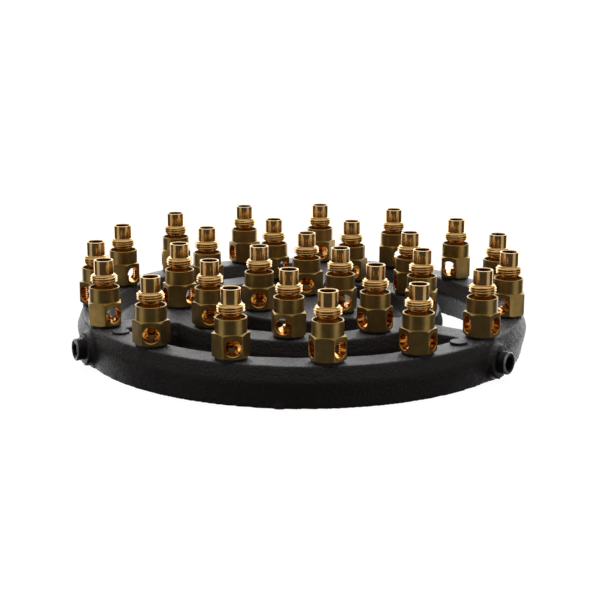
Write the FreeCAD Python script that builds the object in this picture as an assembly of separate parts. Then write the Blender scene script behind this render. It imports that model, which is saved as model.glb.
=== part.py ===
import FreeCAD, Part
import math
import os

from FreeCAD import Vector

# A multi-jet gas ring burner: a hollow cast-iron manifold of two rings, a hub and three spokes,
# with 27 brass jets screwed into its top and a pipe plug closing the drilled end of each spoke.
# All sizes are in millimetres. The origin is the centre of the gas inlet on the flat underside,
# +Z is up and -Y is the front. Angles go round +Z, from -Y towards +X.

# ---- Casting: heights ----
PARTING_Z = 16.0
CASTING_TOP = 25.1
JET_SEAT_Z = 26.6

# ---- Casting: radii as (inner, outer) at the underside, the parting line and the top ----
OUTER_RING = ((122.5, 138.8), (116.0, 142.0), (121.5, 138.8))
MIDDLE_RING = ((69.5, 86.0), (65.5, 90.0), (68.0, 87.5))
HUB_BOTTOM_R = 38.0
HUB_PARTING_R = 43.0
HUB_TOP_R = 41.5
SPOKE_HALF_WIDTHS = (8.6, 10.8, 9.2)
SPOKE_ANGLES = (60.0, 180.0, 300.0)
EDGE_R_BOTTOM = 1.2
EDGE_R_PARTING = 4.0
EDGE_R_TOP = 2.2

# ---- Casting: gas passages ----
WALL = 5.0
CHANNEL_FLOOR_Z = 5.0
CHANNEL_WIDE_Z = 12.0
CHANNEL_ROOF_Z = 18.2
CHANNEL_EDGE_R = 2.5
HUB_CHAMBER_R = 35.5
HUB_CHAMBER_FLOOR_Z = 13.0
DRILLING_Z = 11.8
DRILLING_R = 5.55
DRILLING_END_R = 28.0
INLET_R = 12.0

# ---- Casting: bosses, pads and the stub of the pouring gate ----
SEAT_BOSS_R = 9.2
SEAT_BOSS_FOOT_R = 9.5
SEAT_BOSS_FOOT_Z = 24.1
PAD_R = 5.15
PAD_HEIGHT = 1.3
PAD_RING_R = 128.5
PAD_ANGLES = (-50.7, 50.7)
PLUG_BOSS_R = 10.6
PLUG_BOSS_FACE_R = 144.4
PLUG_BOSS_EDGE_R = 1.6
GATE_STUB_R = 3.2
GATE_STUB_AT_R = 137.6
GATE_STUB_ANGLE = 0.5

# ---- Jets: rings as (name, pitch radius, angle of the first jet, turn of each jet's air holes) ----
JET_RINGS = (
    ("outer", 130.0, 12.0, (54, -55, 57, -25, 20, -26, 30, 10, -55, 45, 55, -40, 45, 10, 15)),
    ("middle", 77.2, 0.0, (-15, -50, 25, -73, 10, 50, 15, -61, 9)),
    ("inner", 29.3, 60.0, (20, 5, 5)),
)
AIR_HOLES = 3

# ---- Jet body: heights above the seat ----
HEX_FLATS = 19.05
HEX_TOP = 14.1
HEX_CORNER_R = HEX_FLATS / math.sqrt(3.0)
COLLAR_R = 9.15
COLLAR_TOP = 22.5
CUP_R = 8.3
CUP_FLOOR = 19.3
BODY_BORE_R = 7.0
BODY_BORE_FLOOR = 2.2
TAIL_R = 5.1
TAIL_LENGTH = 6.5
AIR_HOLE_R = 4.85
AIR_HOLE_HEIGHT = 6.5
AIR_HOLE_BEVEL = 0.35

# ---- Jet nozzle: heights above the seat ----
SHANK_R = 6.95
SHANK_BOTTOM = 12.6
NECK_R = 5.4
NECK_TOP = 23.9
THREAD_ROOT_R = 7.2
THREAD_CREST_R = 8.1
THREAD_BOTTOM = 25.4
THREAD_PITCH = 1.45
THREAD_TURNS = 3
TUBE_R = 5.75
TUBE_TOP = 38.9
TUBE_BORE_R = 4.7
NECK_BORE_R = 3.6
TUBE_BORE_FLOOR = 24.0
MOUTH_BEVEL = 0.35

# ---- Orifice spud: heights above the seat ----
SPUD_R = 2.5
SPUD_BOTTOM = -5.5
SPUD_HEX_FLATS = 6.4
SPUD_TOP = 5.2
SPUD_FEED_R = 1.6
SPUD_FEED_TOP = 4.0
ORIFICE_R = 0.6

# ---- Pipe plug: distances from the burner's axis ----
PLUG_R = 6.85
PLUG_FACE_R = 149.6
PLUG_END_R = 137.2
PLUG_BEVEL = 0.9
SOCKET_FLATS = 7.94
SOCKET_DEPTH = 6.5
THREAD_GAP = 0.05

UP = Vector(0, 0, 1)
CENTRE = Vector(0, 0, 0)


def direction(angle):
    """Unit vector in plan at an angle from -Y towards +X."""
    turn = math.radians(angle)
    return Vector(math.sin(turn), -math.cos(turn), 0)


def rounded_face(corners):
    """Flat face from (point, radius) corners, each corner eased by a tangent arc."""
    entries = []
    for index, (point, radius) in enumerate(corners):
        to_last = (corners[index - 1][0] - point).normalize()
        to_next = (corners[(index + 1) % len(corners)][0] - point).normalize()
        half_angle = to_last.getAngle(to_next) / 2.0
        reach = radius / math.tan(half_angle)
        bisector = (to_last + to_next).normalize()
        middle = point + bisector * (radius / math.sin(half_angle) - radius)
        entries.append((point + to_last * reach, middle, point + to_next * reach))
    edges = []
    for index, (start, middle, end) in enumerate(entries):
        if (end - start).Length > 1e-6:
            edges.append(Part.Arc(start, middle, end).toShape())
        edges.append(Part.LineSegment(end, entries[(index + 1) % len(entries)][0]).toShape())
    return Part.Face(Part.Wire(edges))


def revolved(corners):
    """Ring from ((r, z), radius) corners, turned about the Z axis."""
    profile = rounded_face([(Vector(r, 0, z), radius) for (r, z), radius in corners])
    return profile.revolve(CENTRE, UP, 360)


def turned(outline):
    """Lathe-turned solid from a list of (r, z) points that starts and ends on the Z axis."""
    points = [Vector(r, 0, z) for r, z in outline]
    return Part.Face(Part.makePolygon(points + [points[0]])).revolve(CENTRE, UP, 360)


def rod(radius, bottom, top):
    return Part.makeCylinder(radius, top - bottom, Vector(0, 0, bottom))


def hexagon(flats, bottom, top):
    """Hexagonal bar about Z with two of its flats facing -Y and +Y."""
    corner_r = flats / math.sqrt(3.0)
    corners = [direction(30 + 60 * step) * corner_r + Vector(0, 0, bottom) for step in range(6)]
    return Part.Face(Part.makePolygon(corners + [corners[0]])).extrude(UP * (top - bottom))


def radial(shape, angle, height=0.0):
    """Turn a shape made along +Z so that +Z points outwards at an angle in plan."""
    placed = shape.copy()
    placed.Placement = FreeCAD.Placement(
        Vector(0, 0, height), FreeCAD.Rotation(UP, direction(angle)))
    return placed


# ---- Casting ----

def ring_blank(radii):
    """Ring whose two sides bulge to the parting line."""
    bottom, parting, top = radii
    return revolved([
        ((bottom[0], 0), EDGE_R_BOTTOM), ((bottom[1], 0), EDGE_R_BOTTOM),
        ((parting[1], PARTING_Z), EDGE_R_PARTING), ((top[1], CASTING_TOP), EDGE_R_TOP),
        ((top[0], CASTING_TOP), EDGE_R_TOP), ((parting[0], PARTING_Z), EDGE_R_PARTING)])


def ring_channel(radii):
    """Hollow core of a ring, a wall's thickness inside its blank."""
    bottom, parting, top = radii
    corners = (
        (bottom[0] + WALL, CHANNEL_FLOOR_Z), (bottom[1] - WALL, CHANNEL_FLOOR_Z),
        (parting[1] - WALL, CHANNEL_WIDE_Z), (top[1] - WALL, CHANNEL_ROOF_Z),
        (top[0] + WALL, CHANNEL_ROOF_Z), (parting[0] + WALL, CHANNEL_WIDE_Z))
    return revolved([(corner, CHANNEL_EDGE_R) for corner in corners])


def hub_blank():
    profile = rounded_face([
        (Vector(0, 0, 0), 0), (Vector(HUB_BOTTOM_R, 0, 0), EDGE_R_BOTTOM),
        (Vector(HUB_PARTING_R, 0, PARTING_Z), EDGE_R_PARTING),
        (Vector(HUB_TOP_R, 0, CASTING_TOP), EDGE_R_TOP), (Vector(0, 0, CASTING_TOP), 0)])
    return profile.revolve(CENTRE, UP, 360)


def spoke_blank(angle):
    """Spoke from inside the hub to inside the outer ring, bulging like the rings."""
    bottom, parting, top = SPOKE_HALF_WIDTHS
    side = direction(angle + 90)
    start = direction(angle) * (HUB_TOP_R - 2 * WALL)
    outline = (
        (-bottom, 0, EDGE_R_BOTTOM), (bottom, 0, EDGE_R_BOTTOM),
        (parting, PARTING_Z, EDGE_R_PARTING), (top, CASTING_TOP, EDGE_R_TOP),
        (-top, CASTING_TOP, EDGE_R_TOP), (-parting, PARTING_Z, EDGE_R_PARTING))
    corners = [(start + side * across + UP * z, radius) for across, z, radius in outline]
    reach = OUTER_RING[2][0] + 2 * WALL - start.Length
    return rounded_face(corners).extrude(direction(angle) * reach)


def seat_boss(position):
    """Low coned boss that a jet is screwed down on."""
    height = JET_SEAT_Z - SEAT_BOSS_FOOT_Z
    foot = position + UP * SEAT_BOSS_FOOT_Z
    return Part.makeCone(SEAT_BOSS_FOOT_R, SEAT_BOSS_R, height, foot)


def pad(angle):
    foot = direction(angle) * PAD_RING_R + UP * (CASTING_TOP - PAD_HEIGHT)
    return Part.makeCylinder(PAD_R, 2 * PAD_HEIGHT, foot)


def plug_boss(angle):
    """Round boss on the rim, on the line of a spoke."""
    start = OUTER_RING[1][0] + 2 * WALL
    boss = rod(PLUG_BOSS_R, start, PLUG_BOSS_FACE_R)
    rim = [edge for edge in boss.Edges if abs(edge.BoundBox.ZMin - PLUG_BOSS_FACE_R) < 0.01]
    return radial(boss.makeFillet(PLUG_BOSS_EDGE_R, rim), angle, DRILLING_Z)


def gate_stub():
    """Ground-off stub on the lower front edge, flush with the underside."""
    centre = direction(GATE_STUB_ANGLE) * GATE_STUB_AT_R + UP * (GATE_STUB_R / 2)
    ball = Part.makeSphere(GATE_STUB_R, centre)
    slab = Part.makeBox(20, 20, 20, centre + Vector(-10, -10, -GATE_STUB_R / 2))
    return ball.common(slab)


def manifold_casting(jet_positions):
    blanks = [ring_blank(MIDDLE_RING), hub_blank(), gate_stub()]
    blanks += [spoke_blank(angle) for angle in SPOKE_ANGLES]
    blanks += [plug_boss(angle) for angle in SPOKE_ANGLES]
    blanks += [pad(angle) for angle in PAD_ANGLES]
    blanks += [seat_boss(position) for position in jet_positions]
    solid = ring_blank(OUTER_RING).fuse(blanks)

    cuts = [ring_channel(OUTER_RING), ring_channel(MIDDLE_RING)]
    cuts.append(rod(HUB_CHAMBER_R, HUB_CHAMBER_FLOOR_Z, CHANNEL_ROOF_Z))
    cuts.append(rod(INLET_R, -1, HUB_CHAMBER_FLOOR_Z + 1))
    for angle in SPOKE_ANGLES:
        cuts.append(radial(rod(DRILLING_R, DRILLING_END_R, PLUG_FACE_R), angle, DRILLING_Z))
        tapping = rod(PLUG_R + THREAD_GAP, PLUG_END_R - 1, PLUG_FACE_R)
        cuts.append(radial(tapping, angle, DRILLING_Z))
    for position in jet_positions:
        tapping = rod(TAIL_R + THREAD_GAP, CHANNEL_ROOF_Z - 1, JET_SEAT_Z + 1)
        tapping.translate(position)
        cuts.append(tapping)
    return solid.cut(cuts).removeSplitter()


# ---- Pipe plug ----

def pipe_plug():
    """Plug along +Z, with bevelled ends and a hexagonal key socket."""
    body = turned([
        (0, PLUG_END_R), (PLUG_R - PLUG_BEVEL, PLUG_END_R), (PLUG_R, PLUG_END_R + PLUG_BEVEL),
        (PLUG_R, PLUG_FACE_R - PLUG_BEVEL), (PLUG_R - PLUG_BEVEL, PLUG_FACE_R), (0, PLUG_FACE_R)])
    return body.cut(hexagon(SOCKET_FLATS, PLUG_FACE_R - SOCKET_DEPTH, PLUG_FACE_R + 1))


# ---- Jets ----

def air_hole(angle):
    """Cutter for one air hole, with a bevel where it breaks out of the flat."""
    flat = HEX_FLATS / 2
    cutter = rod(AIR_HOLE_R, 0, HEX_FLATS)
    bevel = Part.makeCone(
        AIR_HOLE_R, AIR_HOLE_R + 2 * AIR_HOLE_BEVEL, 2 * AIR_HOLE_BEVEL,
        Vector(0, 0, flat - AIR_HOLE_BEVEL))
    return radial(cutter.fuse(bevel), angle, AIR_HOLE_HEIGHT)


def jet_body():
    """Hexagonal mixing body on its seat at z = 0, with an air hole facing -Y."""
    bevel_drop = (HEX_CORNER_R - COLLAR_R) * math.tan(math.radians(30))
    envelope = turned([
        (0, 0), (HEX_FLATS / 2 + 0.3, 0), (HEX_CORNER_R, 0.8),
        (HEX_CORNER_R, HEX_TOP - bevel_drop), (COLLAR_R, HEX_TOP), (0, HEX_TOP)])
    solid = hexagon(HEX_FLATS, 0, HEX_TOP).common(envelope)
    solid = solid.fuse([rod(COLLAR_R, HEX_TOP - 1, COLLAR_TOP), rod(TAIL_R, -TAIL_LENGTH, 1)])
    cuts = [
        rod(BODY_BORE_R, BODY_BORE_FLOOR, CUP_FLOOR + 1), rod(CUP_R, CUP_FLOOR, COLLAR_TOP + 1),
        rod(SPUD_R + THREAD_GAP, -TAIL_LENGTH - 1, BODY_BORE_FLOOR + 1)]
    cuts += [air_hole(hole * 360.0 / AIR_HOLES) for hole in range(AIR_HOLES)]
    return solid.cut(cuts).removeSplitter()


def jet_nozzle():
    """Nozzle turned from bar: shank in the body, waisted neck, thread and plain tube."""
    outline = [(0, SHANK_BOTTOM), (SHANK_R, SHANK_BOTTOM), (SHANK_R, CUP_FLOOR)]
    outline += [(NECK_R, CUP_FLOOR), (NECK_R, NECK_TOP), (THREAD_ROOT_R, THREAD_BOTTOM)]
    for turn in range(THREAD_TURNS):
        foot = THREAD_BOTTOM + turn * THREAD_PITCH
        outline.append((THREAD_CREST_R, foot + 0.4 * THREAD_PITCH))
        outline.append((THREAD_CREST_R, foot + 0.6 * THREAD_PITCH))
        outline.append((THREAD_ROOT_R, foot + THREAD_PITCH))
    shoulder = THREAD_BOTTOM + THREAD_TURNS * THREAD_PITCH
    outline += [(TUBE_R, shoulder), (TUBE_R, TUBE_TOP - MOUTH_BEVEL)]
    outline += [(TUBE_R - MOUTH_BEVEL, TUBE_TOP), (0, TUBE_TOP)]
    bore = rod(NECK_BORE_R, SHANK_BOTTOM - 1, TUBE_TOP)
    return turned(outline).cut([bore, rod(TUBE_BORE_R, TUBE_BORE_FLOOR, TUBE_TOP + 1)])


def orifice_spud():
    """Screwed-in gas orifice that stands up inside the body's bore."""
    solid = rod(SPUD_R, SPUD_BOTTOM, SPUD_TOP)
    solid = solid.fuse(hexagon(SPUD_HEX_FLATS, BODY_BORE_FLOOR, SPUD_TOP))
    feed = rod(SPUD_FEED_R, SPUD_BOTTOM - 1, SPUD_FEED_TOP)
    return solid.cut([feed, rod(ORIFICE_R, SPUD_BOTTOM, SPUD_TOP + 1)]).removeSplitter()


def jet_places():
    """Every jet as (ring name, number in its ring, position in plan, turn of its air holes)."""
    places = []
    for ring, pitch_r, first_angle, turns in JET_RINGS:
        for index, turn in enumerate(turns):
            angle = first_angle + index * 360.0 / len(turns)
            places.append((ring, index + 1, direction(angle) * pitch_r, turn))
    return places


def seated(shape, position, turn):
    """Copy of a jet's piece, stood on the seat at a position and turned about its axis."""
    placed = shape.copy()
    placed.Placement = FreeCAD.Placement(
        position + UP * JET_SEAT_Z, FreeCAD.Rotation(UP, turn))
    return placed


def export(shape, node):
    shape.exportStep("parts/" + node + ".step")


def main():
    os.makedirs("parts", exist_ok=True)
    places = jet_places()
    export(manifold_casting([position for ring, number, position, turn in places]),
           "manifold_casting")
    plug = pipe_plug()
    for number, angle in enumerate(SPOKE_ANGLES, start=1):
        export(radial(plug, angle, DRILLING_Z), "pipe_plug_%d" % number)
    body = jet_body()
    nozzle = jet_nozzle()
    spud = orifice_spud()
    spuds = []
    for ring, number, position, turn in places:
        export(seated(body, position, turn), "%s_jet_body_%02d" % (ring, number))
        export(seated(nozzle, position, turn), "%s_jet_nozzle_%02d" % (ring, number))
        spuds.append(seated(spud, position, turn))
    export(Part.makeCompound(spuds), "orifice_spuds")


main()
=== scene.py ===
import math

import bmesh
import bpy
from mathutils import Matrix, Vector, noise


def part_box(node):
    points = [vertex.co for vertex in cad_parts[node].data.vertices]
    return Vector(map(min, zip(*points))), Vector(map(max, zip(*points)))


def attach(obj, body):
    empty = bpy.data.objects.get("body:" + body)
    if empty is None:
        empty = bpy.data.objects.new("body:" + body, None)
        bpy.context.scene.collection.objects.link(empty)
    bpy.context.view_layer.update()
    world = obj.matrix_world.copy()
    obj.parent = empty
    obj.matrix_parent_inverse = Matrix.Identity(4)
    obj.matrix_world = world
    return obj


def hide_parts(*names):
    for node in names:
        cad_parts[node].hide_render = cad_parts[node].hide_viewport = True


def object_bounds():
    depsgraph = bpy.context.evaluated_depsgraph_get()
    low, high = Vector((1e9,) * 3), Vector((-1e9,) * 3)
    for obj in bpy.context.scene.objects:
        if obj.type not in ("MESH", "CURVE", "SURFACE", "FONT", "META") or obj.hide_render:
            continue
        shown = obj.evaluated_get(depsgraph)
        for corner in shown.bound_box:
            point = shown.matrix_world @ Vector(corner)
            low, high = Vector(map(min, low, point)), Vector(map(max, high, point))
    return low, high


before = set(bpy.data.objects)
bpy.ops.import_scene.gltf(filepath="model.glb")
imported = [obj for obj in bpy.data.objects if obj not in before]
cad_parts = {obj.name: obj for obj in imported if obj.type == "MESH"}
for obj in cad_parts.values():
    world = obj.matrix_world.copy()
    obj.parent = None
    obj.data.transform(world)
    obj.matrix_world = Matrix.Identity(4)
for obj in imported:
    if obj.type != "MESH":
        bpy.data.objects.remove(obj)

CAD_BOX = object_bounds()
MM = 0.001

# A multi-jet gas ring burner: a sand-cast iron manifold with 27 turned brass jets and 3 pipe plugs.
# Lengths below are in millimetres. Angles in plan run from -Y towards +X.

# ---- Casting ----
PARTING_Z = 16.0
CASTING_TOP = 25.1
JET_SEAT_Z = 26.6
OUTER_RING = ((122.5, 138.8), (116.0, 142.0), (121.5, 138.8))
MIDDLE_RING = ((69.5, 86.0), (65.5, 90.0), (68.0, 87.5))
HUB_RADII = (38.0, 43.0, 41.5)
SPOKE_HALF_WIDTHS = (8.6, 10.8, 9.2)
SPOKE_ANGLES = (60.0, 180.0, 300.0)
SPOKE_START_R = 30.0
SPOKE_END_R = 130.0
INLET_R = 12.0
INLET_DEPTH = 13.0
PAD_R = 5.15
PAD_HEIGHT = 1.3
PAD_RING_R = 128.5
PAD_ANGLES = (-50.7, 50.7)
SEAT_BOSS_R = 9.2
PLUG_BOSS_R = 10.6
PLUG_BOSS_START_R = 126.0
PLUG_BOSS_FACE_R = 144.4
GATE_STUB_R = 3.2
GATE_STUB_AT_R = 137.6
GATE_STUB_ANGLE = 0.5
DRILLING_Z = 11.8
SEAT_OVERLAP = 0.05
VOXEL_SIZE = 1.28
SOFTENING_PASSES = 2
FLAT_UNDERSIDE_BAND = 0.6
# The skin's swells as (feature size, height), and the noise level that leaves it where it is.
SWELLS = ((26.0, 0.26), (7.0, 0.16), (2.8, 0.08))
SWELL_BIAS = 0.35

# ---- Jets ----
AIR_HOLE_TURNS = {
    "outer": (54, -55, 57, -25, 20, -26, 30, 10, -55, 45, 55, -40, 45, 10, 15),
    "middle": (-15, -50, 25, -73, 10, 50, 15, -61, 9),
    "inner": (20, 5, 5),
}
HEX_FLATS = 19.05
HEX_CORNER_R = HEX_FLATS / math.sqrt(3.0)
HEX_TOP = 14.1
COLLAR_R = 9.15
COLLAR_TOP = 22.5
CUP_R = 8.3
CUP_FLOOR = 19.3
BORE_R = 7.0
BORE_FLOOR = 2.2
BORE_THREAD_PITCH = 1.27
BORE_THREAD_DEPTH = 0.45
TAIL_R = 5.1
TAIL_LENGTH = 6.5
AIR_HOLE_R = 4.85
AIR_HOLE_HEIGHT = 6.5
AIR_HOLE_ANGLES = (0, 120, 240)
SHANK_BOTTOM = 12.6
NECK_R = 5.4
NECK_TOP = 23.9
THREAD_ROOT_R = 7.2
THREAD_DEPTH = 0.88
THREAD_BOTTOM = 25.4
THREAD_PITCH = 1.45
THREAD_TURNS = 3
THREAD_TOP = THREAD_BOTTOM + THREAD_TURNS * THREAD_PITCH
TUBE_R = 5.75
TUBE_TOP = 38.9
TUBE_BORE_R = 4.7
NECK_BORE_R = 3.6
TUBE_BORE_FLOOR = 24.0

# ---- Pipe plugs: distances from the burner's axis ----
PLUG_R = 6.85
PLUG_FACE_R = 149.6
PLUG_END_R = 137.2
PLUG_THREAD_PITCH = 1.41
SOCKET_FLATS = 7.94
SOCKET_DEPTH = 6.5

UP = Vector((0, 0, 1))


def direction(angle):
    """Unit vector in plan at an angle from -Y towards +X."""
    turn = math.radians(angle)
    return Vector((math.sin(turn), -math.cos(turn), 0))


# ---- Mesh helpers ----

def rows(radius, low, high, count):
    """Evenly spaced (r, z) points up a straight wall."""
    return [(radius, low + (high - low) * step / (count - 1)) for step in range(count)]


def spun(outline, steps, ring=False):
    """Lathe-turned mesh from (r, z) points in mm. A ring's outline closes on itself."""
    bm = bmesh.new()
    verts = [bm.verts.new((r * MM, 0, z * MM)) for r, z in outline]
    edges = [bm.edges.new(pair) for pair in zip(verts, verts[1:])]
    if ring:
        edges.append(bm.edges.new((verts[-1], verts[0])))
    bmesh.ops.spin(
        bm, geom=verts + edges, cent=(0, 0, 0), axis=(0, 0, 1), angle=2 * math.pi,
        steps=steps, use_merge=True)
    bmesh.ops.remove_doubles(bm, verts=bm.verts, dist=1e-6)
    bmesh.ops.recalc_face_normals(bm, faces=bm.faces)
    return bm


def prism(outline, along):
    """Solid from a flat outline of points in mm, pushed along a vector in mm."""
    bm = bmesh.new()
    face = bm.faces.new([bm.verts.new(point * MM) for point in outline])
    made = bmesh.ops.extrude_face_region(bm, geom=[face])["geom"]
    moved = [item for item in made if isinstance(item, bmesh.types.BMVert)]
    bmesh.ops.translate(bm, verts=moved, vec=along * MM)
    bmesh.ops.recalc_face_normals(bm, faces=bm.faces)
    return bm


def hexagon(flats, bottom, top, edge_bevel):
    """Hexagonal bar about Z, one flat facing -Y, its six long edges eased."""
    corner_r = flats / math.sqrt(3.0)
    outline = [direction(30 + 60 * step) * corner_r + UP * bottom for step in range(6)]
    bm = prism(outline, UP * (top - bottom))
    upright = [e for e in bm.edges if abs(e.verts[0].co.z - e.verts[1].co.z) > 1e-5]
    bmesh.ops.bevel(
        bm, geom=upright, offset=edge_bevel * MM, affect="EDGES", segments=2, profile=0.5,
        material=-1)
    return bm


def cut_thread(bm, root_r, depth, low, high, pitch):
    """Raises a helical thread of rounded crests on a wall, fading out at both ends."""
    for vert in bm.verts:
        radius = math.hypot(vert.co.x, vert.co.y) / MM
        z = vert.co.z / MM
        if abs(radius - root_r) > 0.01 or not low < z < high:
            continue
        turn = math.atan2(vert.co.y, vert.co.x) / (2 * math.pi)
        crest = 0.5 - 0.5 * math.cos(2 * math.pi * ((z - low) / pitch - turn))
        fade = min(1.0, (z - low) / (0.4 * pitch), (high - z) / (0.4 * pitch))
        scale = 1 + depth * fade * crest ** 0.8 / root_r
        vert.co.x *= scale
        vert.co.y *= scale


def placed(bm, matrix):
    bmesh.ops.transform(bm, matrix=matrix, verts=bm.verts)
    return bm


def outwards(angle, height):
    """Matrix that turns +Z to point outwards at an angle in plan, at a height in mm."""
    turn = UP.rotation_difference(direction(angle)).to_matrix().to_4x4()
    return Matrix.Translation(UP * height * MM) @ turn


def joined(parts):
    """One bmesh from several."""
    whole = bmesh.new()
    for part in parts:
        mesh = bpy.data.meshes.new("part")
        part.to_mesh(mesh)
        part.free()
        whole.from_mesh(mesh)
        bpy.data.meshes.remove(mesh)
    return whole


def piece_from(bm, name):
    mesh = bpy.data.meshes.new(name)
    bm.to_mesh(mesh)
    bm.free()
    piece = bpy.data.objects.new(name, mesh)
    bpy.context.scene.collection.objects.link(piece)
    return piece


def bake_modifiers(piece):
    """Replaces a piece's mesh with what its modifiers make of it."""
    graph = bpy.context.evaluated_depsgraph_get()
    made = bpy.data.meshes.new_from_object(piece.evaluated_get(graph))
    old = piece.data
    piece.modifiers.clear()
    piece.data = made
    bpy.data.meshes.remove(old)


def combine(piece, tool_bm, operation):
    """Boolean of a piece with a tool that is used up."""
    tool = piece_from(tool_bm, "tool")
    boolean = piece.modifiers.new("boolean", "BOOLEAN")
    boolean.operation = operation
    boolean.solver = "MANIFOLD"
    boolean.object = tool
    bake_modifiers(piece)
    bpy.data.meshes.remove(tool.data)


def smooth_by_angle(mesh, degrees):
    """Smooth shading that stays crisp at edges sharper than an angle."""
    mesh.polygons.foreach_set("use_smooth", [True] * len(mesh.polygons))
    mesh.set_sharp_from_angle(angle=math.radians(degrees))


def finish_piece(piece, material, slot, *nodes):
    """Gives a piece its material and its body, and hides the CAD nodes that it stands for; its slot
    is not used.
    """
    piece.data.materials.clear()
    piece.data.materials.append(material)
    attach(piece, "root")
    if nodes:
        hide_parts(*nodes)


# ---- Materials ----

def linear(hex_colour):
    """Linear RGBA from an sRGB hex colour."""
    channels = [int(hex_colour[i:i + 2], 16) / 255 for i in (1, 3, 5)]
    return tuple(c / 12.92 if c <= 0.04045 else ((c + 0.055) / 1.055) ** 2.4
                 for c in channels) + (1.0,)


def add(tree, kind, links=None, **settings):
    """Adds a node. links maps each input to a value or to the output that feeds it."""
    node = tree.nodes.new(kind)
    for name, value in settings.items():
        setattr(node, name, value)
    for socket, value in (links or {}).items():
        if isinstance(value, bpy.types.NodeSocket):
            tree.links.new(value, node.inputs[socket])
        else:
            node.inputs[socket].default_value = value
    return node


def new_material(name):
    material = bpy.data.materials.new(name)
    material.use_nodes = True
    material.node_tree.nodes.clear()
    return material, material.node_tree


def per_metre(size_mm):
    """Texture scale that makes a pattern's features a given size."""
    return 1.0 / (size_mm * MM)


def turned_brass():
    """Free-cutting brass, turned: bright, with fine rings left by the tool round each piece."""
    material, tree = new_material("turned_brass")
    place = add(tree, "ShaderNodeTexCoord").outputs["Object"]
    height = add(tree, "ShaderNodeSeparateXYZ", {"Vector": place}).outputs["Z"]
    seed = add(tree, "ShaderNodeAttribute", attribute_name="piece_seed").outputs["Fac"]
    lathe = add(tree, "ShaderNodeMath", {0: height, 1: seed}, operation="ADD").outputs[0]
    # Tool marks are about 0.1 mm apart; 0.35 mm is the finest that shows.
    rings = add(tree, "ShaderNodeTexNoise", {"W": lathe, "Scale": per_metre(0.35), "Detail": 2.0},
                noise_dimensions="1D").outputs["Fac"]
    stain = add(tree, "ShaderNodeTexNoise", {"Vector": place, "Scale": per_metre(6.0),
                                             "Detail": 3.0}).outputs["Fac"]
    blend = add(tree, "ShaderNodeMath", {0: rings, 1: 0.5, 2: stain}, operation="MULTIPLY_ADD")
    tone = add(tree, "ShaderNodeMapRange", {"Value": blend.outputs[0], "From Min": 0.5,
                                            "From Max": 1.0}).outputs[0]
    colour = add(tree, "ShaderNodeMix", {"Factor": tone, "A": linear("#c2985a"),
                                         "B": linear("#d6b076")}, data_type="RGBA")
    rough = add(tree, "ShaderNodeMapRange", {"Value": blend.outputs[0], "From Min": 0.4,
                                             "From Max": 1.1, "To Min": 0.12,
                                             "To Max": 0.20}).outputs[0]
    bump = add(tree, "ShaderNodeBump", {"Height": rings, "Strength": 0.25,
                                        "Distance": 0.03 * MM}).outputs[0]
    shader = add(tree, "ShaderNodeBsdfPrincipled", {
        "Base Color": colour.outputs["Result"], "Metallic": 1.0, "Roughness": rough,
        "Normal": bump})
    add(tree, "ShaderNodeOutputMaterial", {"Surface": shader.outputs[0]})
    return material


def brass_bar():
    """Brass hexagon bar: satin flats with long fine streaks, and brighter orange in its holes,
    partly polished cut brass and partly painted glow of light bouncing inside.
    """
    material, tree = new_material("drawn_brass_bar")
    place = add(tree, "ShaderNodeTexCoord").outputs["Object"]
    stretch = add(tree, "ShaderNodeMapping", {"Vector": place, "Scale": (1, 1, 0.04)})
    # Drawing marks are finer than 0.1 mm; 0.45 mm is the finest that shows.
    streaks = add(tree, "ShaderNodeTexNoise", {
        "Vector": stretch.outputs[0], "Scale": per_metre(0.45), "Detail": 3.0}).outputs["Fac"]
    stain = add(tree, "ShaderNodeTexNoise", {"Vector": place, "Scale": per_metre(5.0),
                                             "Detail": 4.0}).outputs["Fac"]
    mixed = add(tree, "ShaderNodeMath", {0: streaks, 1: 0.6, 2: stain}, operation="MULTIPLY_ADD")
    tone = add(tree, "ShaderNodeMapRange", {"Value": mixed.outputs[0], "From Min": 0.55,
                                            "From Max": 1.1}).outputs[0]
    drawn = add(tree, "ShaderNodeMix", {"Factor": tone, "A": linear("#967a44"),
                                        "B": linear("#b3945a")}, data_type="RGBA")
    inside = add(tree, "ShaderNodeAttribute", attribute_name="inside").outputs["Fac"]
    # Painted glow: the bore and air holes are coloured a brighter orange, standing in for light
    # that bounces round inside them; their lower roughness is the polish of the cut.
    colour = add(tree, "ShaderNodeMix", {"Factor": inside, "A": drawn.outputs["Result"],
                                         "B": linear("#d29238")}, data_type="RGBA")
    rough = add(tree, "ShaderNodeMapRange", {"Value": inside, "To Min": 0.36,
                                             "To Max": 0.16}).outputs[0]
    bump = add(tree, "ShaderNodeBump", {"Height": streaks, "Strength": 0.3,
                                        "Distance": 0.03 * MM}).outputs[0]
    shader = add(tree, "ShaderNodeBsdfPrincipled", {
        "Base Color": colour.outputs["Result"], "Metallic": 1.0, "Roughness": rough,
        "Normal": bump})
    add(tree, "ShaderNodeOutputMaterial", {"Surface": shader.outputs[0]})
    return material


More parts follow.
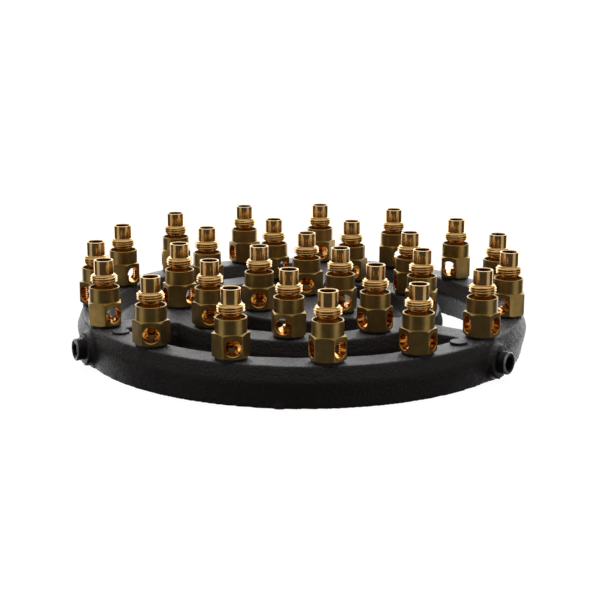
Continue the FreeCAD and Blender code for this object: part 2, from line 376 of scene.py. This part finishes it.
def sand_cast_iron():
    """Grey iron as cast in sand and blackened: brown-black, pebbled, with a painted sheen that
    greys what faces up.
    """
    material, tree = new_material("sand_cast_iron")
    place = add(tree, "ShaderNodeTexCoord").outputs["Object"]
    # Sand grain is 0.2 to 0.4 mm; 0.7 mm is the finest that shows.
    grain = add(tree, "ShaderNodeTexNoise", {"Vector": place, "Scale": per_metre(1.1),
                                             "Detail": 4.0, "Roughness": 0.7}).outputs["Fac"]
    pits = add(tree, "ShaderNodeTexVoronoi", {"Vector": place, "Scale": per_metre(1.4)},
               feature="SMOOTH_F1").outputs["Distance"]
    patches = add(tree, "ShaderNodeTexNoise", {"Vector": place, "Scale": per_metre(16.0),
                                               "Detail": 4.0}).outputs["Fac"]
    base = add(tree, "ShaderNodeMix", {"Factor": patches, "A": linear("#140c08"),
                                       "B": linear("#1f1815")}, data_type="RGBA")
    normal = add(tree, "ShaderNodeNewGeometry").outputs["Normal"]
    facing = add(tree, "ShaderNodeSeparateXYZ", {"Vector": normal}).outputs["Z"]
    upward = add(tree, "ShaderNodeMapRange", {"Value": facing, "From Min": 0.75,
                                              "From Max": 0.98}).outputs[0]
    speckle = add(tree, "ShaderNodeMapRange", {"Value": grain, "From Min": 0.44,
                                               "From Max": 0.58}).outputs[0]
    # Painted sheen: faces turned up, speckled by the grain, are coloured bluish grey as if lit from
    # above.
    painted_top_sheen = add(tree, "ShaderNodeMath", {0: upward, 1: speckle}, operation="MULTIPLY").outputs[0]
    colour = add(tree, "ShaderNodeMix", {"Factor": painted_top_sheen, "A": base.outputs["Result"],
                                         "B": linear("#5a5e65")}, data_type="RGBA")
    rough = add(tree, "ShaderNodeMapRange", {"Value": grain, "From Min": 0.3, "From Max": 0.7,
                                             "To Min": 0.32, "To Max": 0.58}).outputs[0]
    gloss = add(tree, "ShaderNodeMapRange", {"Value": upward, "To Min": 0.35,
                                             "To Max": 0.95}).outputs[0]
    relief = add(tree, "ShaderNodeMath", {0: grain, 1: pits}, operation="ADD").outputs[0]
    bump = add(tree, "ShaderNodeBump", {"Height": relief, "Strength": 0.9,
                                        "Distance": 0.5 * MM}).outputs[0]
    shader = add(tree, "ShaderNodeBsdfPrincipled", {
        "Base Color": colour.outputs["Result"], "Roughness": rough, "Normal": bump,
        "Specular IOR Level": gloss})
    add(tree, "ShaderNodeOutputMaterial", {"Surface": shader.outputs[0]})
    return material


def black_oxide_steel():
    """Steel blackened in a hot salt bath: satin near-black, paler on its rim, partly rubbed wear
    and partly a painted highlight.
    """
    material, tree = new_material("black_oxide_steel")
    place = add(tree, "ShaderNodeTexCoord").outputs["Object"]
    scuffs = add(tree, "ShaderNodeTexNoise", {"Vector": place, "Scale": per_metre(1.5),
                                              "Detail": 4.0}).outputs["Fac"]
    rim_mark = add(tree, "ShaderNodeAttribute", attribute_name="rim_wear_and_highlight").outputs["Fac"]
    worn_and_highlit = add(tree, "ShaderNodeMath", {0: rim_mark, 1: scuffs}, operation="MULTIPLY").outputs[0]
    worn_and_highlit = add(tree, "ShaderNodeMapRange", {"Value": worn_and_highlit, "From Min": 0.2,
                                            "From Max": 0.6}).outputs[0]
    # Paler rim: part rubbed wear, part painted highlight.
    colour = add(tree, "ShaderNodeMix", {"Factor": worn_and_highlit, "A": linear("#1d1d20"),
                                         "B": linear("#94969c")}, data_type="RGBA")
    shader = add(tree, "ShaderNodeBsdfPrincipled", {
        "Base Color": colour.outputs["Result"], "Metallic": 0.7, "Roughness": 0.36})
    add(tree, "ShaderNodeOutputMaterial", {"Surface": shader.outputs[0]})
    return material


# ---- Casting ----

def ring_blank(radii):
    bottom, parting, top = radii
    return spun([(bottom[0], 0), (bottom[1], 0), (parting[1], PARTING_Z), (top[1], CASTING_TOP),
                 (top[0], CASTING_TOP), (parting[0], PARTING_Z)], 360, ring=True)


def hub_blank():
    """Hub with the gas inlet's hole in its underside."""
    bottom, parting, top = HUB_RADII
    return spun([(0, INLET_DEPTH), (INLET_R, INLET_DEPTH), (INLET_R, 0), (bottom, 0),
                 (parting, PARTING_Z), (top, CASTING_TOP), (0, CASTING_TOP)], 120)


def spoke_blank(angle):
    bottom, parting, top = SPOKE_HALF_WIDTHS
    side = direction(angle + 90)
    start = direction(angle) * SPOKE_START_R
    section = ((-bottom, 0), (bottom, 0), (parting, PARTING_Z), (top, CASTING_TOP),
               (-top, CASTING_TOP), (-parting, PARTING_Z))
    outline = [start + side * across + UP * z for across, z in section]
    return prism(outline, direction(angle) * (SPOKE_END_R - SPOKE_START_R))


def disc(radius, bottom, top, edge=0.35):
    """Round boss about Z with an eased upper edge."""
    return spun([
        (0, bottom), (radius, bottom), (radius, top - edge),
        (radius - 0.3 * edge, top - 0.3 * edge), (radius - edge, top), (0, top)], 48)


def casting_blanks():
    """The large closed forms that the casting is the union of."""
    blanks = [ring_blank(OUTER_RING), ring_blank(MIDDLE_RING), hub_blank()]
    blanks += [spoke_blank(angle) for angle in SPOKE_ANGLES]
    for angle in SPOKE_ANGLES:
        boss = disc(PLUG_BOSS_R, PLUG_BOSS_START_R, PLUG_BOSS_FACE_R)
        blanks.append(placed(boss, outwards(angle, DRILLING_Z)))
    stub = bmesh.new()
    bmesh.ops.create_icosphere(stub, subdivisions=3, radius=GATE_STUB_R * MM)
    centre = direction(GATE_STUB_ANGLE) * GATE_STUB_AT_R + UP * GATE_STUB_R / 2
    blanks.append(placed(stub, Matrix.Translation(centre * MM)))
    return blanks


def top_bosses(seats):
    """The two pads and the jets' seats, which stand crisp on the casting's top."""
    bosses = []
    for angle in PAD_ANGLES:
        pad = disc(PAD_R, CASTING_TOP - PAD_HEIGHT, CASTING_TOP + PAD_HEIGHT)
        bosses.append(placed(pad, Matrix.Translation(direction(angle) * PAD_RING_R * MM)))
    for seat in seats:
        boss = disc(SEAT_BOSS_R, CASTING_TOP - PAD_HEIGHT, JET_SEAT_Z + SEAT_OVERLAP, 0.1)
        bosses.append(placed(boss, Matrix.Translation(seat)))
    return bosses


def roughen(mesh):
    """Gives the skin the uneven swell and pebbling of a sand mould; the underside stays flat."""
    low, high = CAD_BOX
    skin = [(vert.co.copy(), vert.normal.copy()) for vert in mesh.vertices]
    places = []
    for place, normal in skin:
        if place.z < FLAT_UNDERSIDE_BAND * MM:
            place.z = 0.0
        else:
            swell = sum(height * (noise.noise(place / (size * MM)) - SWELL_BIAS)
                        for size, height in SWELLS)
            place += normal * swell * MM
        places += [min(high.x, max(low.x, place.x)), max(low.y, place.y), place.z]
    mesh.vertices.foreach_set("co", places)


def make_casting(seats, material):
    blanks = piece_from(joined(casting_blanks()), "blanks")
    remesh = blanks.modifiers.new("remesh", "REMESH")
    remesh.mode = "VOXEL"
    remesh.voxel_size = VOXEL_SIZE * MM
    soften = blanks.modifiers.new("soften", "SMOOTH")
    soften.factor = 0.5
    soften.iterations = SOFTENING_PASSES
    bake_modifiers(blanks)
    roughen(blanks.data)
    smooth_by_angle(blanks.data, 60)
    whole = joined(top_bosses(seats))
    whole.from_mesh(blanks.data)
    bpy.data.meshes.remove(blanks.data)
    finish_piece(piece_from(whole, "casting"), material, "cast_iron", "manifold_casting")


# ---- Pipe plugs ----

def plug_master():
    """Taper plug along +Z with a fine thread, a rolled rim and a hexagonal key socket."""
    face = PLUG_FACE_R
    outline = [(0, PLUG_END_R), (PLUG_R - 0.9, PLUG_END_R)]
    outline += rows(PLUG_R - 0.55, PLUG_END_R + 0.6, face - 1.6, 60)
    outline += [(PLUG_R - 0.35, face - 1.5), (PLUG_R - 0.05, face - 1.15)]
    outline += [(PLUG_R - 0.1, face - 0.6)]
    outline += [(PLUG_R - 0.5, face - 0.1), (PLUG_R - 0.8, face), (PLUG_R - 1.25, face)]
    outline += [(PLUG_R - 1.6, face - 0.35), (PLUG_R - 2.2, face - 0.55), (0, face - 0.55)]
    bm = spun(outline, 72)
    cut_thread(bm, PLUG_R - 0.55, 0.55, PLUG_END_R + 0.6, face - 1.6, PLUG_THREAD_PITCH)
    plug = piece_from(bm, "plug_master")
    combine(plug, hexagon(SOCKET_FLATS, face - SOCKET_DEPTH, face + 1, 0.3), "DIFFERENCE")
    return plug


def add_rim_wear_and_highlight(mesh):
    """Point attribute that is 1 at the rim that hands and keys rub, and that carries a painted
    highlight.
    """
    rim_mark = mesh.attributes.new("rim_wear_and_highlight", "FLOAT", "POINT")
    for index, vert in enumerate(mesh.vertices):
        radius = math.hypot(vert.co.x, vert.co.y) / MM
        on_rim = vert.co.z / MM > PLUG_FACE_R - 0.7 and radius > PLUG_R - 1.4
        rim_mark.data[index].value = 1.0 if on_rim else 0.0


def make_plugs(material):
    master = plug_master()
    add_rim_wear_and_highlight(master.data)
    smooth_by_angle(master.data, 35)
    for number, angle in enumerate(SPOKE_ANGLES, start=1):
        mesh = master.data.copy()
        mesh.transform(outwards(angle, DRILLING_Z))
        plug = bpy.data.objects.new("plug_%d" % number, mesh)
        bpy.context.scene.collection.objects.link(plug)
        finish_piece(plug, material, "black_oxide_steel", "pipe_plug_%d" % number)
    bpy.data.meshes.remove(master.data)


# ---- Jets ----

def body_envelope():
    """Turned form that chamfers the hexagon's ends and gives it its collar and tail."""
    drop = (HEX_CORNER_R - COLLAR_R) * math.tan(math.radians(30))
    return spun([
        (0, -TAIL_LENGTH), (TAIL_R, -TAIL_LENGTH), (TAIL_R, 0), (HEX_FLATS / 2 + 0.3, 0),
        (HEX_CORNER_R + 0.1, 0.75), (HEX_CORNER_R + 0.1, HEX_TOP - drop), (COLLAR_R, HEX_TOP),
        (COLLAR_R, COLLAR_TOP - 0.2), (COLLAR_R - 0.2, COLLAR_TOP), (0, COLLAR_TOP)], 96)


def body_bore():
    """Tool for the threaded bore and the cup that the nozzle stands in."""
    outline = [(0, BORE_FLOOR)] + rows(BORE_R, BORE_FLOOR, CUP_FLOOR, 95)
    outline += [(CUP_R - 0.6, CUP_FLOOR), (CUP_R, CUP_FLOOR + 0.6), (CUP_R, COLLAR_TOP - 0.2)]
    outline += [(CUP_R + 0.25, COLLAR_TOP + 0.05), (CUP_R + 0.25, COLLAR_TOP + 1)]
    outline += [(0, COLLAR_TOP + 1)]
    bm = spun(outline, 60)
    cut_thread(bm, BORE_R, BORE_THREAD_DEPTH, BORE_FLOOR + 0.1, SHANK_BOTTOM + 0.4,
               BORE_THREAD_PITCH)
    return bm


def air_hole_tool(angle):
    """Drill with a countersink that leaves a bevel where it breaks out of the flat."""
    flat = HEX_FLATS / 2
    bm = spun([
        (0, 0.5), (AIR_HOLE_R, 0.5), (AIR_HOLE_R, flat - 0.3), (AIR_HOLE_R + 0.6, flat + 0.3),
        (AIR_HOLE_R + 0.6, flat + 3), (0, flat + 3)], 48)
    return placed(bm, outwards(angle, AIR_HOLE_HEIGHT))


def body_master():
    blank = hexagon(2 * HEX_CORNER_R, -TAIL_LENGTH - 1, COLLAR_TOP + 1, 0.1)
    body = piece_from(blank, "body_master")
    combine(body, hexagon(HEX_FLATS, -TAIL_LENGTH - 2, COLLAR_TOP + 2, 0.22), "INTERSECT")
    combine(body, body_envelope(), "INTERSECT")
    combine(body, body_bore(), "DIFFERENCE")
    for angle in AIR_HOLE_ANGLES:
        combine(body, air_hole_tool(angle), "DIFFERENCE")
    return body


def mark_inside(mesh):
    """Point attribute that is 1 in the air holes and the bore, and 0 outside and in the cup."""
    inside = mesh.attributes.new("inside", "FLOAT", "POINT")
    flats = [direction(60 * step) for step in range(6)]
    reach = HEX_FLATS / 2 - 0.25
    for index, vert in enumerate(mesh.vertices):
        place = vert.co / MM
        within = all(place.dot(flat) < reach for flat in flats)
        inside.data[index].value = 1.0 if within and 0.9 < place.z < HEX_TOP - 2 else 0.0


def nozzle_master():
    """Nozzle as one turned tube: shank, waisted neck, thread, shoulder, plain barrel."""
    outline = [(NECK_BORE_R, SHANK_BOTTOM + 0.3), (NECK_BORE_R + 0.3, SHANK_BOTTOM)]
    outline += [(BORE_R - 0.35, SHANK_BOTTOM), (BORE_R - 0.05, SHANK_BOTTOM + 0.3)]
    outline += [(BORE_R - 0.05, CUP_FLOOR), (NECK_R + 0.5, CUP_FLOOR), (NECK_R, CUP_FLOOR + 0.5)]
    outline += [(NECK_R, NECK_TOP - 0.3), (NECK_R + 0.15, NECK_TOP + 0.15)]
    outline += [(THREAD_ROOT_R - 0.2, THREAD_BOTTOM - 0.2)]
    outline += rows(THREAD_ROOT_R, THREAD_BOTTOM, THREAD_TOP, 28)
    outline += [(THREAD_ROOT_R - 0.15, THREAD_TOP + 0.1), (THREAD_ROOT_R - 0.3, THREAD_TOP + 0.35)]
    outline += [(TUBE_R + 0.25, THREAD_TOP + 0.45), (TUBE_R, THREAD_TOP + 0.7)]
    outline += [(TUBE_R, TUBE_TOP - 0.3), (TUBE_R - 0.1, TUBE_TOP - 0.06)]
    outline += [(TUBE_R - 0.3, TUBE_TOP), (TUBE_BORE_R + 0.3, TUBE_TOP)]
    outline += [(TUBE_BORE_R, TUBE_TOP - 0.35)]
    outline += [(TUBE_BORE_R, TUBE_BORE_FLOOR), (NECK_BORE_R, TUBE_BORE_FLOOR - 0.6)]
    bm = spun(outline, 64, ring=True)
    cut_thread(bm, THREAD_ROOT_R, THREAD_DEPTH, THREAD_BOTTOM, THREAD_TOP, THREAD_PITCH)
    return piece_from(bm, "nozzle_master")


def jet_seats():
    """Every jet as (ring name, number, seat point in metres, turn of its air holes)."""
    seats = []
    for ring, turns in AIR_HOLE_TURNS.items():
        for number, turn in enumerate(turns, start=1):
            low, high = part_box("%s_jet_nozzle_%02d" % (ring, number))
            middle = (low + high) / 2
            seats.append((ring, number, Vector((middle.x, middle.y, 0)), turn))
    return seats


def make_jet_piece(master, name, matrix, seed, material, slot, node):
    mesh = master.data.copy()
    mesh.transform(matrix)
    seeds = mesh.attributes.new("piece_seed", "FLOAT", "POINT")
    seeds.data.foreach_set("value", [seed] * len(mesh.vertices))
    piece = bpy.data.objects.new(name, mesh)
    bpy.context.scene.collection.objects.link(piece)
    finish_piece(piece, material, slot, node)


def make_jets(seats, bar, bright):
    body = body_master()
    nozzle = nozzle_master()
    mark_inside(body.data)
    smooth_by_angle(body.data, 28)
    smooth_by_angle(nozzle.data, 40)
    for index, (ring, number, place, turn) in enumerate(seats):
        seat = Matrix.Translation(place + UP * JET_SEAT_Z * MM)
        matrix = seat @ Matrix.Rotation(math.radians(turn), 4, "Z")
        label = "%s_%02d" % (ring, number)
        make_jet_piece(body, "body_" + label, matrix, 0.01 * index, bar, "brass_bar",
                       "%s_jet_body_%02d" % (ring, number))
        twist = seat @ Matrix.Rotation(math.radians(97 * index), 4, "Z")
        make_jet_piece(nozzle, "nozzle_" + label, twist, 0.007 * index, bright, "brass_turned",
                       "%s_jet_nozzle_%02d" % (ring, number))
    bpy.data.meshes.remove(body.data)
    bpy.data.meshes.remove(nozzle.data)


# ---- Camera, floor and lights ----

FRONT_AZIMUTH = 5.63
FRONT_GLOW = 0.075
BACK_GLOW = 2.6
OVERHEAD_GLOW = 1.0
CAMERA_AZIMUTH = FRONT_AZIMUTH
CAMERA_ELEVATION = 11.84
CAMERA_DISTANCE = 974.0
CAMERA_TILT = 13.99
CAMERA_PAN = 0.07
CAMERA_ROLL = 0.23
CAMERA_LENS = 92.68
# The soft boxes, in metres, and the height above the underside that they face.
SOFTBOX_ELEVATION = -6
SOFTBOX_DISTANCE = 1.0
SOFTBOX_HEIGHT = 0.9
SOFTBOX_RADIANCE = 0.6
SOFTBOX_AIM_Z = 0.03


def backward(azimuth, elevation):
    rise = math.radians(elevation)
    return direction(azimuth) * math.cos(rise) + UP * math.sin(rise)


def make_camera():
    camera = bpy.data.objects.new("camera", bpy.data.cameras.new("camera"))
    bpy.context.scene.collection.objects.link(camera)
    camera.data.lens = CAMERA_LENS
    jet_tips = UP * CAD_BOX[1].z
    place = jet_tips + backward(CAMERA_AZIMUTH, CAMERA_ELEVATION) * CAMERA_DISTANCE * MM
    turn = Matrix.Rotation(math.radians(CAMERA_AZIMUTH + CAMERA_PAN), 4, "Z")
    turn = turn @ Matrix.Rotation(math.radians(90 - CAMERA_TILT), 4, "X")
    turn = turn @ Matrix.Rotation(math.radians(CAMERA_ROLL), 4, "Z")
    camera.matrix_world = Matrix.Translation(place) @ turn
    bpy.context.scene.camera = camera


def glowing(name, strength):
    """Plain white that gives its own light, with its nodes left open for more."""
    material, tree = new_material(name)
    glow = add(tree, "ShaderNodeEmission", {"Color": linear("#ffffff"), "Strength": strength})
    return material, tree, glow.outputs[0]


def make_floor():
    """Pale floor with a faint shadow. It neither mirrors in the burner nor blocks light."""
    bm = bmesh.new()
    bmesh.ops.create_grid(bm, x_segments=1, y_segments=1, size=30.0)
    floor = piece_from(bm, "floor")
    material, tree, glow = glowing("white_floor", 0.95)
    paper = add(tree, "ShaderNodeBsdfDiffuse", {"Color": (0.12, 0.12, 0.12, 1.0)})
    both = add(tree, "ShaderNodeAddShader", {0: paper.outputs[0], 1: glow})
    add(tree, "ShaderNodeOutputMaterial", {"Surface": both.outputs[0]})
    floor.data.materials.append(material)
    hide_from_light(floor)


def make_dome():
    """White surround that fills the picture past the floor and takes no part in the lighting."""
    bm = bmesh.new()
    bmesh.ops.create_uvsphere(bm, u_segments=32, v_segments=16, radius=40.0)
    dome = piece_from(bm, "dome")
    material, tree, glow = glowing("white_dome", 1.0)
    add(tree, "ShaderNodeOutputMaterial", {"Surface": glow})
    dome.data.materials.append(material)
    hide_from_light(dome)


def hide_from_light(piece):
    piece.visible_glossy = False
    piece.visible_diffuse = False
    piece.visible_shadow = False


def softbox(name, azimuth, width):
    """Upright soft box that faces the burner from an angle in plan."""
    light = bpy.data.lights.new(name, "AREA")
    light.shape = "RECTANGLE"
    light.size = width
    light.size_y = SOFTBOX_HEIGHT
    light.energy = SOFTBOX_RADIANCE * math.pi * width * SOFTBOX_HEIGHT
    lamp = bpy.data.objects.new(name, light)
    bpy.context.scene.collection.objects.link(lamp)
    back = backward(azimuth, SOFTBOX_ELEVATION)
    lamp.location = back * SOFTBOX_DISTANCE + UP * SOFTBOX_AIM_Z
    lamp.rotation_mode = "QUATERNION"
    lamp.rotation_quaternion = back.to_track_quat("Z", "Y")
    lamp.visible_camera = False


def make_surround():
    """Light from all round: dim in front, bright behind the burner and above it."""
    world = bpy.data.worlds.new("studio")
    bpy.context.scene.world = world
    world.use_nodes = True
    tree = world.node_tree
    tree.nodes.clear()
    look = add(tree, "ShaderNodeTexCoord").outputs["Generated"]
    nearness = add(tree, "ShaderNodeVectorMath", {0: look, 1: direction(FRONT_AZIMUTH)},
                   operation="DOT_PRODUCT").outputs["Value"]
    behind = add(tree, "ShaderNodeMapRange", {
        "Value": nearness, "From Min": -0.5, "From Max": -0.85, "To Min": FRONT_GLOW,
        "To Max": BACK_GLOW}, interpolation_type="SMOOTHSTEP").outputs[0]
    height = add(tree, "ShaderNodeSeparateXYZ", {"Vector": look}).outputs["Z"]
    above = add(tree, "ShaderNodeMapRange", {"Value": height, "From Min": 0.35, "From Max": 0.9,
                                             "To Max": OVERHEAD_GLOW}).outputs[0]
    strength = add(tree, "ShaderNodeMath", {0: behind, 1: above}, operation="ADD").outputs[0]
    sky = add(tree, "ShaderNodeBackground", {"Color": linear("#ffffff"), "Strength": strength})
    add(tree, "ShaderNodeOutputWorld", {"Surface": sky.outputs[0]})


def make_lights():
    softbox("softbox_left", FRONT_AZIMUTH - 63, 0.60)
    softbox("softbox_right", FRONT_AZIMUTH + 57, 0.62)
    make_surround()
    bpy.context.scene.view_settings.view_transform = "Standard"


def main():
    make_camera()
    make_floor()
    make_dome()
    make_lights()
    seats = jet_seats()
    bar = brass_bar()
    bright = turned_brass()
    make_casting([place for _, _, place, _ in seats], sand_cast_iron())
    make_plugs(black_oxide_steel())
    make_jets(seats, bar, bright)
    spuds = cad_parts["orifice_spuds"]
    spuds.data.materials.clear()
    spuds.data.materials.append(bright)


main()
